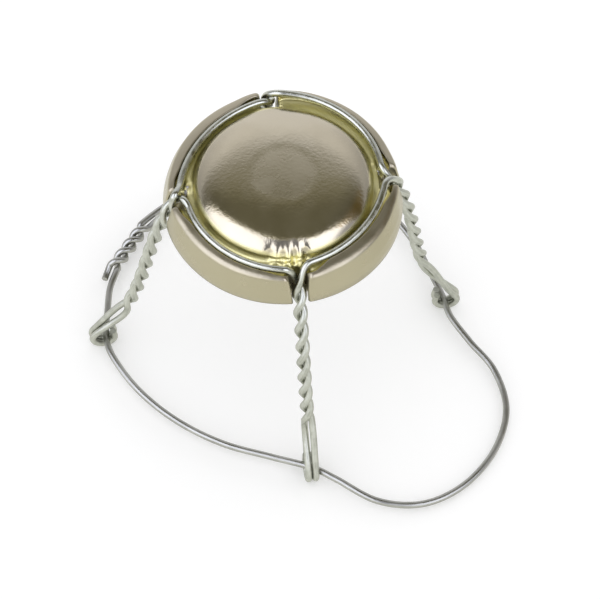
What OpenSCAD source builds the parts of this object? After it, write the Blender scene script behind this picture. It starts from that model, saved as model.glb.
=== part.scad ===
// Wire hood for a sparkling-wine cork: a pressed metal cap held by four cage wires whose ends
// are twisted into four legs, and a belt wire threaded through the eyes at the legs' feet.
// The origin is the centre of the cap's mouth, with +Z up through the cap and the legs below it.
// Legs are numbered 0 right (+X), 1 back (+Y), 2 left (-X) and 3 front (-Y).

/* [Cap] */
// Outer diameter of the skirt at the mouth
mouth_d = 30.4; // [29.6:0.1:32]
// Thickness of the sheet
sheet_t = 0.25; // [0.18:0.01:0.35]
// Height of the straight band at the skirt's lower edge
band_h = 0.9; // [0.5:0.1:1.5]
// How far the skirt flares out on each side, from the ridge's crest to the mouth
skirt_flare = 1.2; // [1:0.05:1.4]
// Height of the ridge's crest above the channel's floor
rim_h = 0.65; // [0.5:0.05:0.9]
// Width of the ridge's flat crest, before its corners are rounded
crest_w = 0.6; // [0.5:0.05:0.8]
// Rounding of the ridge's outer corner
ridge_round = 0.55; // [0.4:0.05:0.7]
// Rounding of the channel's folds
fold_round = 0.25; // [0.15:0.05:0.3]
// Height of the channel's floor above the mouth
channel_h = 3.85; // [3.6:0.05:4.1]
// Run of the channel's outer wall, from the edge of the ridge's crest in to the floor
rim_run = 0.45; // [0.3:0.05:0.6]
// Width of the channel's flat floor
floor_w = 2.05; // [1.9:0.05:2.3]
// Run of the dome's wall, from the channel's floor in to the dome's edge
dome_run = 0.8; // [0.6:0.05:1]
// Height of the dome's edge above the channel's floor
dome_h = 2.1; // [1.6:0.05:2.6]
// Rounding of the dome's edge
dome_round = 1.1; // [0.8:0.1:1.4]
// Rise of the dome's middle above its edge
dome_rise = 0.75; // [0.3:0.05:1.5]
// Diameter of the round spot pressed into the dome's middle
spot_d = 8.2; // [6:0.1:10]
// Depth of the round spot
spot_depth = 0.08; // [0.04:0.01:0.12]

/* [Notches] */
// Clearance between a twisted leg and each side of its notch
notch_gap = 0.15; // [0.1:0.01:0.3]
// Rounding of the notch's upper corners
notch_round = 0.8; // [0.6:0.05:0.9]
// Width of the channel's floor left whole between the dome's foot and each notch
notch_margin = 0.7; // [0.5:0.05:0.8]

/* [Wire] */
// Diameter of the wire
wire_d = 0.9; // [0.8:0.01:0.95]
// Gap between two wires twisted together
twist_gap = 0.06; // [0.05:0.01:0.1]
// Distance inside the ridge's crest of each arc's start, middle and end, anticlockwise from legs 0 to 3
arc_inset = [[1.4, 1, 0.7], [1.4, 1.85, 1.05], [1.65, 1.5, 1.15], [1.85, 2.03, 1.35]];
// Rise of each arc's end over the wire that it crosses, for the arcs from legs 0 to 3
arc_climb = [0.6, 0, 0, 0.7];
// Gap between the arcs and the channel's floor
seat_gap = 0.07; // [0.03:0.01:0.1]
// Distance from a notch's widest place to where an arc begins to bend into it
arc_lead = 0; // [0:0.05:0.3]

/* [Legs] */
// Height of the mouth above the surface that the hood stands on
stand_h = 30; // [28:0.5:34]
// Angle by which each leg and its notch stand anticlockwise of their quarter, for legs 0 to 3
leg_turn = [-3.2, 0, 2.5, 0];
// Distance inside the ridge's crest of each leg's first crossing, for legs 0 to 3
crossing_inset = [-0.25, 0.5, 0.5, 0.5];
// Depth of each leg's first crossing below the channel's floor, for legs 0 to 3
crossing_drop = [1, 0, -0.55, 1.88];
// Lean of each leg from upright at its first crossing, for legs 0 to 3
leg_top_lean = [22, 31, 28, 31];
// Lean of each leg from upright at the end of its twist, for legs 0 to 3
leg_end_lean = [14, 13, 21, 13];
// Depth of each twist's end below the mouth, for legs 0 to 3
twist_drop = [17.7, 21.1, 21.2, 21.1];
// Half turns in each twist, from the first crossing to where its strands lie side by side
half_turns = [6.5, 8.5, 8.5, 8.5];
// Distance outside the ridge's crest of each twist's end, for legs 0 to 3
twist_spread = [4.9, 6.6, 6.8, 6.3];
// Distance outside the ridge's crest of each eye, for legs 0 to 3
eye_spread = [8.8, 10.9, 10.4, 9.7];
// Sideways drift of each foot, anticlockwise from above, for legs 0 to 3
foot_sway = [1.1, 1, -1.28, 0.6];
// Lay of each twist, 1 right-handed and -1 left-handed, for legs 0 to 3
lay = [-1, -1, -1, 1];
// Radius of the bend round an eye, along the wire's centre line
eye_bend_r = 1.5; // [1.3:0.02:1.6]
// Lean of the strands from upright where the bend round the eye begins
eye_lean = 36; // [30:1:40]
// Angle by which the bend round the eye runs past straight up
eye_close = 10; // [0:1:20]
// Length of the straight end past the bend round the eye
end_length = 1.0; // [0.4:0.1:1.6]

/* [Belt] */
// Drop of the belt below an eye's centre
belt_drop = 0.2; // [0.1:0.01:0.25]
// Distance that the belt passes inward of each eye's centre, for legs 0 to 3
belt_inset = [0.3, 0.25, 0.35, 0.12];
// Radius of the splice's helix, along the wire's centre line
splice_r = 0.6; // [0.55:0.01:0.7]
// Turns in the splice
splice_turns = 2; // [1:1:2]
// Length of each cut end that lies beside the belt past the splice
splice_end = 2.2; // [1:0.1:2.5]

/* [Hidden] */

revolve_fn = 96;
wire_sides = 8;
rings_per_half_turn = 5;
arc_rings = 16;
blend_rings = 4;
bend_rings = 8;
bridge_rings = 4;
belt_rings = 4;
corner_steps = 5;
dome_steps = 8;
splice_rings = 10;
cut_over = 1;

ridge_r = mouth_d / 2 - skirt_flare;
floor_r = ridge_r - crest_w / 2 - rim_run;
dome_foot_r = floor_r - floor_w;
dome_r = dome_foot_r - dome_run;
ridge_h = channel_h + rim_h;
dome_edge_h = channel_h + dome_h;

wire_r = wire_d / 2;
strand_r = wire_r + twist_gap / 2;
notch_half_w = strand_r + wire_r + notch_gap;
notch_in_r = dome_foot_r + notch_margin;
arc_h = channel_h + wire_r + seat_gap;
arc_end = asin((notch_half_w + notch_round + arc_lead) * 2 / (dome_foot_r + floor_r));
eye_h = -stand_h + eye_bend_r + wire_r;
belt_h = eye_h - belt_drop;

// Places that the belt bends through between the eyes, each as its angle about the cap's axis,
// its distance outside the ridge's crest and how far the belt sags there
belt_left = [[188.2, 9.74, 0], [203.6, 8.48, 0.1], [221.4, 7.47, 0.2], [240.3, 7.19, 0.2], [258.3, 7.75, 0.1]];
belt_loop = [
    [278, 11.95, 0.1], [286.3, 16.73, 0.4], [295.4, 19.86, 0.7], [305.6, 21.05, 0.9],
    [316.5, 20.87, 0.9], [327, 19.4, 0.8], [336.1, 16.08, 0.6], [343.3, 12.1, 0.3], [352.1, 9.22, 0.1]
];
belt_back_right = [[11.6, 7.85, 0], [26.2, 8.18, 0.1], [43.2, 8.78, 0.1], [66.5, 9.78, 0.1]];
belt_back_left = [[105.4, 10.89, 0.1], [120.8, 10.22, 0.1]];
splice_top = [135.2, 9.97];
splice_foot = [154.1, 10.46];
belt_exit = [[162, 9.97, 0], [170.8, 9.81, 0]];

// Points and directions

function unit(v) = v / norm(v);
function flip(points) = [for (i = [len(points) - 1:-1:0]) points[i]];
function rest_of(points) = [for (i = [1:1:len(points) - 1]) points[i]];

// A point on a cubic curve from a along direction da to b along direction db
function ease(a, da, b, db, reach, t) =
    let (h = norm(b - a) * reach, p = a + da * h, q = b - db * h, s = 1 - t)
    a * s * s * s + p * 3 * s * s * t + q * 3 * s * t * t + b * t * t * t;

function ease_points(a, da, b, db, reach, steps) =
    [for (i = [0:steps]) ease(a, da, b, db, reach, i / steps)];

// A smooth line through a list of points, without its last point
function through(points, steps) = [
    for (i = [1:len(points) - 3], j = [0:steps - 1])
        let (a = points[i - 1], b = points[i], c = points[i + 1], d = points[i + 2], t = j / steps)
        0.5 * (2 * b + (c - a) * t + (2 * a - 5 * b + 4 * c - d) * t * t + (3 * b - a - 3 * c + d) * t * t * t)
];

// A corner of an outline rounded with radius r, as points along the arc
function corner(before, at, after, r, steps) =
    let (
        u = unit(before - at),
        v = unit(after - at),
        half = acos(u * v) / 2,
        centre = at + unit(u + v) * r / sin(half),
        start = at + u * r / tan(half) - centre,
        side = u[0] * v[1] - u[1] * v[0] > 0 ? -1 : 1,
        turn = side * (180 - 2 * half)
    )
    [for (i = [0:steps])
        let (a = turn * i / steps)
        centre + [start[0] * cos(a) - start[1] * sin(a), start[0] * sin(a) + start[1] * cos(a)]];

// Cap

// Direction across the sheet's outline at point i
function across(line, i) =
    let (d = unit(line[min(i + 1, len(line) - 1)] - line[max(i - 1, 0)])) [-d[1], d[0]];

function shifted(line, by) = [
    for (i = [0:len(line) - 1])
        let (p = line[i] + across(line, i) * by) [max(p[0], 0), p[1]]
];

// Upper surface of the dome: a shallow spherical rise from its edge, with the spot pressed in
function dome_height(r) =
    let (ball = (dome_r * dome_r + dome_rise * dome_rise) / (2 * dome_rise))
    dome_edge_h + dome_rise - ball + sqrt(ball * ball - r * r);

dome_line = [
    for (i = [0:dome_steps - 1])
        let (r = dome_r * i / dome_steps)
        [r, dome_height(r) - (r < spot_d / 2 ? spot_depth : 0)]
];

dome_edge = [dome_r, dome_edge_h];
floor_in = [dome_foot_r, channel_h];
floor_out = [floor_r, channel_h];
ridge_in = [ridge_r - crest_w / 2, ridge_h];
ridge_out = [ridge_r + crest_w / 2, ridge_h];
band_top = [mouth_d / 2, band_h];
mouth_edge = [mouth_d / 2, 0];

// The outer surface of the cap from the dome's middle to the mouth
outer_line = concat(
    dome_line,
    corner(dome_line[dome_steps - 1], dome_edge, floor_in, dome_round, corner_steps),
    corner(dome_edge, floor_in, floor_out, fold_round, corner_steps),
    corner(floor_in, floor_out, ridge_in, fold_round, corner_steps),
    corner(floor_out, ridge_in, ridge_out, fold_round, corner_steps),
    corner(ridge_in, ridge_out, band_top, ridge_round, corner_steps),
    [band_top, mouth_edge]
);

// Everything under the cap's outer surface down to the mouth
module cap_block() {
    rotate_extrude($fn = revolve_fn) polygon(concat(outer_line, [[0, 0]]));
}

// The room under the sheet, open at the mouth
module cap_room() {
    rotate_extrude($fn = revolve_fn)
        polygon(concat(shifted(outer_line, -sheet_t), [[mouth_d / 2 - sheet_t, -cut_over], [0, -cut_over]]));
}

// Space of a notch, or the same space grown by the thickness of its walls: the sheet is pressed in round it.
// Across its width it is narrow at the mouth and widens round a corner to its full width below the floor
module notch_space(wall) {
    narrow = notch_half_w + wall;
    round_r = notch_round - wall;
    full = notch_half_w + notch_round + wall;
    centre = [notch_half_w + notch_round, channel_h - sheet_t - notch_round];
    bend = [
        for (i = [0:corner_steps])
            let (a = 180 - 90 * i / corner_steps) centre + round_r * [cos(a), sin(a)]
    ];
    top = [[full, centre[1] + round_r], [full, ridge_h + cut_over]];
    right_side = concat([[narrow, -cut_over]], bend, top);
    left_side = [for (p = flip(right_side)) [-p[0], p[1]]];
    inner_end = notch_in_r - wall;
    rotate([90, 0, 90]) translate([0, 0, inner_end])
        linear_extrude(height = mouth_d / 2 + cut_over - inner_end) polygon(concat(right_side, left_side));
}

module cap() {
    color([0.74, 0.70, 0.56])
        difference() {
            cap_block();
            difference() {
                cap_room();
                for (leg = [0:3]) rotate([0, 0, leg_angle(leg)]) notch_space(sheet_t);
            }
            for (leg = [0:3]) rotate([0, 0, leg_angle(leg)]) notch_space(0);
        }
}

// Legs: a point of a leg is [distance from the cap's axis, sideways, height]

function leg_angle(leg) = 90 * leg + leg_turn[leg];

function place(p, leg) =
    let (a = leg_angle(leg)) [p[0] * cos(a) - p[1] * sin(a), p[0] * sin(a) + p[1] * cos(a), p[2]];

function leg_axis(leg, t) = ease(
    [ridge_r - crossing_inset[leg], channel_h - crossing_drop[leg]],
    [sin(leg_top_lean[leg]), -cos(leg_top_lean[leg])],
    [ridge_r + twist_spread[leg], -twist_drop[leg]],
    [sin(leg_end_lean[leg]), -cos(leg_end_lean[leg])], 1 / 3, t
);

// Side 1 is the wire from the next quarter anticlockwise, and side -1 the wire from the one before.
// A right-handed twist has the first of them outside at the first crossing, a left-handed one the second.
function twist_phase(leg, side, t) = (side == lay[leg] ? 0 : 180) - lay[leg] * 180 * half_turns[leg] * t;

function strand(leg, side, t) =
    let (
        c = leg_axis(leg, t),
        d = unit(leg_axis(leg, t + 0.01) - leg_axis(leg, t - 0.01)),
        phase = twist_phase(leg, side, t),
        out = strand_r * cos(phase)
    )
    [c[0] - d[1] * out, strand_r * sin(phase) + foot_sway[leg] * t * t, c[1] + d[0] * out];

function strand_dir(leg, side, t) = unit(strand(leg, side, t + 0.005) - strand(leg, side, t - 0.005));

// The bend round the eye, seen side on, and the straight end after it
function eye_bend(leg, side) =
    let (
        eye_r = ridge_r + eye_spread[leg],
        y = foot_sway[leg] + strand_r * sin(twist_phase(leg, side, 1)),
        last = -180 - eye_close
    )
    concat(
        [for (i = [0:bend_rings])
            let (a = eye_lean + (last - eye_lean) * i / bend_rings)
            [eye_r + eye_bend_r * cos(a), y, eye_h + eye_bend_r * sin(a)]],
        [[
            eye_r + eye_bend_r * cos(last) + end_length * sin(last),
            y,
            eye_h + eye_bend_r * sin(last) - end_length * cos(last)
        ]]
    );

// A point of the arc that starts at leg number quarter, at share u of its way along the channel
function arc_point(quarter, u) =
    let (
        inset = arc_inset[quarter],
        in_from_ridge = inset[0] * (1 - u) * (1 - 2 * u) + inset[1] * 4 * u * (1 - u) + inset[2] * u * (2 * u - 1),
        radius = ridge_r - in_from_ridge,
        first = leg_angle(quarter) + arc_end,
        last = 90 * (quarter + 1) + leg_turn[(quarter + 1) % 4] - arc_end,
        a = first + (last - first) * u
    )
    [radius * cos(a), radius * sin(a), arc_h + arc_climb[quarter] * pow(u, 2.5)];

// One wire's run down a leg, from where it leaves the channel to its cut end
function leg_run(leg, side) =
    let (
        quarter = side > 0 ? leg : (leg + 3) % 4,
        u = side > 0 ? 0 : 1,
        start = arc_point(quarter, u),
        rings = ceil(half_turns[leg] * rings_per_half_turn),
        twist = [for (i = [0:rings]) strand(leg, side, i / rings)],
        bend = eye_bend(leg, side),
        blend = ease_points(
            start, unit(start - arc_point(quarter, u + side * 0.01)),
            place(strand(leg, side, 0), leg), place(strand_dir(leg, side, 0), leg), 0.4, blend_rings
        ),
        bridge = ease_points(
            twist[rings], strand_dir(leg, side, 1), bend[0], [sin(eye_lean), 0, -cos(eye_lean)], 1 / 3, bridge_rings
        )
    )
    concat(blend, [for (p = concat(rest_of(twist), rest_of(bridge), rest_of(bend))) place(p, leg)]);

// The cage wire that rises up one leg, follows its quarter of the channel and goes down the next leg
function cage_wire_path(leg) = concat(
    flip(leg_run(leg, 1)),
    [for (i = [1:arc_rings - 1]) arc_point(leg, i / arc_rings)],
    leg_run((leg + 1) % 4, -1)
);

// A round wire along a path of points

function path_dir(path, i) = unit(path[min(i + 1, len(path) - 1)] - path[max(i - 1, 0)]);

// A direction square to the path at each point, carried along it without turning about it
function path_sides(path) =
    let (
        first = path_dir(path, 0),
        start = unit(cross(first, abs(first[2]) > 0.9 ? [1, 0, 0] : [0, 0, 1]))
    )
    [for (
        i = 0, side = start;
        i < len(path);
        i = i + 1, d = path_dir(path, min(i, len(path) - 1)), side = unit(side - d * (side * d))
    ) side];

module wire(path) {
    sides = path_sides(path);
    rings = len(path);
    points = [
        for (i = [0:rings - 1], j = [0:wire_sides - 1])
            let (a = 360 * j / wire_sides, d = path_dir(path, i))
            path[i] + wire_r * (cos(a) * sides[i] + sin(a) * cross(d, sides[i]))
    ];
    walls = [
        for (i = [0:rings - 2], j = [0:wire_sides - 1])
            let (k = (j + 1) % wire_sides, a = i * wire_sides, b = a + wire_sides)
            each [[a + j, b + j, b + k], [a + j, b + k, a + k]]
    ];
    start_cap = [for (j = [0:wire_sides - 1]) j];
    end_cap = [for (j = [wire_sides - 1:-1:0]) (rings - 1) * wire_sides + j];
    polyhedron(points = points, faces = concat(walls, [start_cap, end_cap]), convexity = 12);
}

module cage_wire(leg) {
    color([0.70, 0.71, 0.69]) wire(cage_wire_path(leg));
}

// Belt

function eye_place(leg) = place([ridge_r + eye_spread[leg] - belt_inset[leg], foot_sway[leg], belt_h], leg);
function outside(p) = (ridge_r + p[1]) * [cos(p[0]), sin(p[0])];
function sagged(points) = [for (p = points) let (xy = outside(p)) [xy[0], xy[1], belt_h - p[2]]];

// A strand of the splice: phase 0 starts and ends on the outer side, and 180 on the inner side
function splice_strand(phase) =
    let (
        top = outside(splice_top),
        foot = outside(splice_foot),
        along = unit(foot - top),
        out = [along[1], -along[0]],
        rings = splice_turns * splice_rings
    )
    [for (i = [0:rings])
        let (
            t = i / rings,
            a = phase - 360 * splice_turns * t,
            c = top + (foot - top) * t + out * splice_r * cos(a)
        )
        [c[0], c[1], belt_h + splice_r * sin(a)]];

function belt_path() =
    let (
        along = unit(outside(splice_foot) - outside(splice_top)),
        out = [along[1], -along[0], 0],
        inner = splice_strand(180),
        outer = splice_strand(0),
        last = len(inner) - 1,
        way = concat(
            [inner[last - 1], inner[last]],
            sagged(belt_exit), [eye_place(2)], sagged(belt_left), [eye_place(3)], sagged(belt_loop),
            [eye_place(0)], sagged(belt_back_right), [eye_place(1)], sagged(belt_back_left),
            [outer[0], outer[1]]
        ),
        top_end = inner[0] - [along[0], along[1], 0] * splice_end - out * wire_r,
        foot_end = outer[last] + unit(sagged(belt_exit)[0] - inner[last]) * splice_end
    )
    concat(
        [top_end],
        [for (i = [0:last - 1]) inner[i]],
        through(way, belt_rings),
        outer,
        [foot_end]
    );

module belt_wire() {
    color([0.66, 0.66, 0.65]) wire(belt_path());
}

cap();
cage_wire(3);  // front_right_wire
cage_wire(0);  // back_right_wire
cage_wire(1);  // back_left_wire
cage_wire(2);  // front_left_wire
belt_wire();
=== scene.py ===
# %% [markdown]
# # A wire hood for a sparkling-wine cork
#
# The object is the little cage that holds a cork in its bottle. Four bent wires sit in the channel of a
# pressed metal cap, and their ends are twisted together into four legs. Each leg ends in a small eye, and a
# belt wire runs through the four eyes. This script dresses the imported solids: it sweeps smooth round wires,
# presses a thin cap with rolled notches and small crumples, and gives each metal its own finish.

# %% Start
import math

import bmesh
import bpy
import numpy as np
from mathutils import Matrix, Vector
from mathutils.bvhtree import BVHTree


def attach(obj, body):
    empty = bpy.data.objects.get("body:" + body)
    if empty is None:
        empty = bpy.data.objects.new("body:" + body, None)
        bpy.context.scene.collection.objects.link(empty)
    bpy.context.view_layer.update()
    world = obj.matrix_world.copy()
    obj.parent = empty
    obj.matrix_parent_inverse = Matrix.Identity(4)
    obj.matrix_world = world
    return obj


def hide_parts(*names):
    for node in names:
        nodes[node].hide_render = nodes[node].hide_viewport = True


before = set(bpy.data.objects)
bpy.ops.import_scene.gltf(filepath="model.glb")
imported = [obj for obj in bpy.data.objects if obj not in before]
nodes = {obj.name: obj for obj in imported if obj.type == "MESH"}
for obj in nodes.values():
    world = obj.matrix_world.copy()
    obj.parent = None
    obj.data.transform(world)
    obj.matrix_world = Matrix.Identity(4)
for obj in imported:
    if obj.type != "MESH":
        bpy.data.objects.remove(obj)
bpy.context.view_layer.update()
print("solids:", sorted(nodes))

# %% [markdown]
# ## Sizes
#
# The same named sizes drive the solids and the looks, so that each smooth wire lies inside the solid that it
# stands for. They are written in millimetres, because that is how a cap press or a wire gauge is read, and
# each mesh is turned into metres when it is made. Every distance in plan is measured from the crest of the
# cap's ridge, as it is on the solids.

# %% Named sizes in millimetres
MM = 0.001
MOUTH_R = 15.2
SHEET = 0.25
BAND_H = 0.9
RIDGE_R = 14.0
CREST_W = 0.6
CHANNEL_H = 3.85
RIDGE_H = 4.5
FLOOR_R = 13.25
DOME_FOOT_R = 11.2

WIRE_R = 0.45
TWIST_GAP = 0.06
STRAND_R = WIRE_R + TWIST_GAP / 2
NOTCH_HALF = STRAND_R + WIRE_R + 0.15
NOTCH_ROUND = 0.8

LEG_TURN = [-3.2, 0, 2.5, 0]
LEG_ANGLE = [math.radians(90 * leg + LEG_TURN[leg % 4]) for leg in range(4)]
ARC_INSET = [(1.4, 1, 0.7), (1.4, 1.85, 1.05), (1.65, 1.5, 1.15), (1.85, 2.03, 1.35)]
ARC_CLIMB = [0.6, 0, 0, 0.7]
ARC_H = CHANNEL_H + WIRE_R + 0.07
ARC_END = math.asin((NOTCH_HALF + NOTCH_ROUND) * 2 / (DOME_FOOT_R + FLOOR_R))

STAND_H = 30.0
CROSSING_INSET = [-0.25, 0.5, 0.5, 0.5]
CROSSING_DROP = [1, 0, -0.55, 1.88]
TOP_LEAN = [22, 31, 28, 31]
END_LEAN = [14, 13, 21, 13]
TWIST_DROP = [17.7, 21.1, 21.2, 21.1]
HALF_TURNS = [6.5, 8.5, 8.5, 8.5]
TWIST_SPREAD = [4.9, 6.6, 6.8, 6.3]
EYE_SPREAD = [8.8, 10.9, 10.4, 9.7]
FOOT_SWAY = [1.1, 1, -1.28, 0.6]
LAY = [-1, -1, -1, 1]
BEND_R = 1.5
EYE_LEAN = math.radians(36)
EYE_CLOSE = math.radians(10)
END_LENGTH = 1.0
EYE_H = -STAND_H + BEND_R + WIRE_R

BELT_H = EYE_H - 0.2
BELT_INSET = [0.3, 0.25, 0.35, 0.12]
SPLICE_R = 0.6
SPLICE_TURNS = 2
SPLICE_END = 2.2
BELT_LEFT = [(188.2, 9.74, 0), (203.6, 8.48, 0.1), (221.4, 7.47, 0.2), (240.3, 7.19, 0.2), (258.3, 7.75, 0.1)]
BELT_LOOP = [(278, 11.95, 0.1), (286.3, 16.73, 0.4), (295.4, 19.86, 0.7), (305.6, 21.05, 0.9), (316.5, 20.87, 0.9),
             (327, 19.4, 0.8), (336.1, 16.08, 0.6), (343.3, 12.1, 0.3), (352.1, 9.22, 0.1)]
BELT_BACK_RIGHT = [(11.6, 7.85, 0), (26.2, 8.18, 0.1), (43.2, 8.78, 0.1), (66.5, 9.78, 0.1)]
BELT_BACK_LEFT = [(105.4, 10.89, 0.1), (120.8, 10.22, 0.1)]
BELT_EXIT = [(162, 9.97, 0), (170.8, 9.81, 0)]
SPLICE_TOP = (135.2, 9.97)
SPLICE_FOOT = (154.1, 10.46)
print("cap", 2 * MOUTH_R, "mm across the mouth, wire", 2 * WIRE_R, "mm")

# %% [markdown]
# ## The camera
#
# The photograph looks down on the front of the hood from about 59 degrees above the table, through a fairly
# long lens. The place, roll and focal length were found by fitting the rim, the ridge and the feet, and the
# frame is 600 by 599 pixels. A long lens keeps the round cap close to a plain ellipse, as it is in the picture.

# %% Camera
FRAME_W, FRAME_H = 600, 599
FOCAL_PX = 2365.0
azimuth, elevation, roll = math.radians(-9.7), math.radians(58.9), math.radians(1.68)
toward_camera = Vector((math.sin(azimuth) * math.cos(elevation), -math.cos(azimuth) * math.cos(elevation),
                        math.sin(elevation)))
level_right = Vector((math.cos(azimuth), math.sin(azimuth), 0))
level_up = toward_camera.cross(level_right)
camera_right = math.cos(roll) * level_right + math.sin(roll) * level_up
camera_up = -math.sin(roll) * level_right + math.cos(roll) * level_up
camera_place = (level_right * 2.51 + level_up * -12.34 + toward_camera * 300.0) * MM

camera_data = bpy.data.cameras.new("camera")
camera_data.sensor_fit = "HORIZONTAL"
camera_data.sensor_width = 36.0
camera_data.lens = FOCAL_PX * camera_data.sensor_width / FRAME_W
camera_data.clip_start = 0.01
camera_data.clip_end = 10.0
camera = bpy.data.objects.new("camera", camera_data)
bpy.context.scene.collection.objects.link(camera)
turn = Matrix((camera_right, camera_up, toward_camera)).transposed()
camera.matrix_world = Matrix.Translation(camera_place) @ turn.to_4x4()
bpy.context.scene.camera = camera
print("camera at", [round(c, 4) for c in camera_place], "lens", round(camera_data.lens, 1), "mm")

# %% [markdown]
# ## Lines for the wires
#
# A bent wire is best described by its centre line. Three small helpers make all of them: `ease` bends from
# one direction to another along a cubic curve, `through` draws a smooth line through a few chosen places, and
# `place` turns a point of a leg round to its own quarter of the cap.

# %% Helpers for lines
def unit(v):
    return v / np.linalg.norm(v)


def ease(a, da, b, db, reach, t):
    h = np.linalg.norm(b - a) * reach
    p, q, s = a + da * h, b - db * h, 1 - t
    return a * s ** 3 + p * 3 * s * s * t + q * 3 * s * t * t + b * t ** 3


def ease_points(a, da, b, db, reach, steps):
    return [ease(a, da, b, db, reach, i / steps) for i in range(steps + 1)]


def through(points, steps):
    line = []
    for a, b, c, d in zip(points, points[1:], points[2:], points[3:]):
        for j in range(steps):
            t = j / steps
            line.append(0.5 * (2 * b + (c - a) * t + (2 * a - 5 * b + 4 * c - d) * t * t
                               + (3 * b - a - 3 * c + d) * t ** 3))
    return line


def place(p, leg):
    a = LEG_ANGLE[leg]
    return np.array([p[0] * math.cos(a) - p[1] * math.sin(a), p[0] * math.sin(a) + p[1] * math.cos(a), p[2]])


# %% [markdown]
# ## The four cage wires
#
# Each cage wire starts at the eye of one leg, climbs half of that leg's twist, comes up through the notch,
# follows a quarter of the channel and goes down the next leg in the same way. A twist is two helices half a
# turn apart round one leaning axis, and it is laid right-handed on the front leg and left-handed on the
# others, as in the photograph. The line is computed point by point, since each wire passes over or under its
# neighbour at a given crossing, and a rule is the safest way to get every crossing right.

# %% Cage wire lines
def downward(lean):
    return np.array([math.sin(math.radians(lean)), -math.cos(math.radians(lean))])


def leg_axis(leg, t):
    top = np.array([RIDGE_R - CROSSING_INSET[leg], CHANNEL_H - CROSSING_DROP[leg]])
    end = np.array([RIDGE_R + TWIST_SPREAD[leg], -TWIST_DROP[leg]])
    return ease(top, downward(TOP_LEAN[leg]), end, downward(END_LEAN[leg]), 1 / 3, t)


def twist_phase(leg, side, t):
    start = 0 if side == LAY[leg] else math.pi
    return start - LAY[leg] * math.pi * HALF_TURNS[leg] * t


def strand(leg, side, t):
    c = leg_axis(leg, t)
    d = unit(leg_axis(leg, t + 0.01) - leg_axis(leg, t - 0.01))
    phase = twist_phase(leg, side, t)
    out = STRAND_R * math.cos(phase)
    return np.array([c[0] - d[1] * out, STRAND_R * math.sin(phase) + FOOT_SWAY[leg] * t * t, c[1] + d[0] * out])


def strand_way(leg, side, t):
    return unit(strand(leg, side, t + 0.005) - strand(leg, side, t - 0.005))


def eye_bend(leg, side, steps=18):
    eye_r = RIDGE_R + EYE_SPREAD[leg]
    y = FOOT_SWAY[leg] + STRAND_R * math.sin(twist_phase(leg, side, 1))
    last = -math.pi - EYE_CLOSE
    points = []
    for i in range(steps + 1):
        a = EYE_LEAN + (last - EYE_LEAN) * i / steps
        points.append(np.array([eye_r + BEND_R * math.cos(a), y, EYE_H + BEND_R * math.sin(a)]))
    tail = np.array([math.sin(last), 0, -math.cos(last)])
    return points + [points[-1] + tail * END_LENGTH * s for s in (0.5, 1)]


def arc_point(quarter, u):
    a, b, c = ARC_INSET[quarter]
    inset = a * (1 - u) * (1 - 2 * u) + b * 4 * u * (1 - u) + c * u * (2 * u - 1)
    radius = RIDGE_R - inset
    first = LEG_ANGLE[quarter] + ARC_END
    last = LEG_ANGLE[(quarter + 1) % 4] + (2 * math.pi if quarter == 3 else 0) - ARC_END
    turn = first + (last - first) * u
    climb = ARC_CLIMB[quarter] * max(u, 0) ** 2.5
    return np.array([radius * math.cos(turn), radius * math.sin(turn), ARC_H + climb])


def leg_run(leg, side, rings_per_half_turn=12):
    quarter = leg if side > 0 else (leg + 3) % 4
    u = 0 if side > 0 else 1
    start = arc_point(quarter, u)
    rings = math.ceil(HALF_TURNS[leg] * rings_per_half_turn)
    twist = [strand(leg, side, i / rings) for i in range(rings + 1)]
    bend = eye_bend(leg, side)
    into = ease_points(start, unit(start - arc_point(quarter, u + side * 0.01)), place(twist[0], leg),
                       place(strand_way(leg, side, 0), leg), 0.4, 12)
    bridge = ease_points(twist[-1], strand_way(leg, side, 1), bend[0],
                         np.array([math.sin(EYE_LEAN), 0, -math.cos(EYE_LEAN)]), 1 / 3, 12)
    return into + [place(p, leg) for p in twist[1:] + bridge[1:] + bend[1:]]


def cage_wire_line(leg, arc_rings=60):
    arc = [arc_point(leg, i / arc_rings) for i in range(1, arc_rings)]
    return leg_run(leg, 1)[::-1] + arc + leg_run((leg + 1) % 4, -1)


cage_lines = {"front_right_wire": cage_wire_line(3), "back_right_wire": cage_wire_line(0),
              "back_left_wire": cage_wire_line(1), "front_left_wire": cage_wire_line(2)}
for name, line in cage_lines.items():
    length = sum(np.linalg.norm(b - a) for a, b in zip(line, line[1:]))
    print(name, len(line), "points,", round(length, 1), "mm of wire")

# %% [markdown]
# ## The belt wire
#
# The belt is one wire. It lies in the bottom of the four eyes, and its slack is drawn out into the big loop
# between the front and right legs, which is the loop that a finger turns. Beside the left leg its two ends
# are twisted round each other twice. The bends lie at a few places read from the photograph, each given as
# an angle round the cap, a distance outside its ridge and a small sag, and `through` joins them.

# %% Belt line
def outside(angle, distance):
    r = RIDGE_R + distance
    return np.array([r * math.cos(math.radians(angle)), r * math.sin(math.radians(angle)), BELT_H])


def sagged(points):
    return [outside(a, r) - np.array([0, 0, sag]) for a, r, sag in points]


def eye_place(leg):
    return place([RIDGE_R + EYE_SPREAD[leg] - BELT_INSET[leg], FOOT_SWAY[leg], BELT_H], leg)


splice_top, splice_foot = outside(*SPLICE_TOP), outside(*SPLICE_FOOT)
splice_way = unit(splice_foot - splice_top)
splice_out = np.array([splice_way[1], -splice_way[0], 0])


def splice_strand(phase, rings=48):
    line = []
    for i in range(rings + 1):
        t = i / rings
        a = phase - 2 * math.pi * SPLICE_TURNS * t
        centre = splice_top + (splice_foot - splice_top) * t
        line.append(centre + splice_out * SPLICE_R * math.cos(a) + np.array([0, 0, SPLICE_R * math.sin(a)]))
    return line


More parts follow.
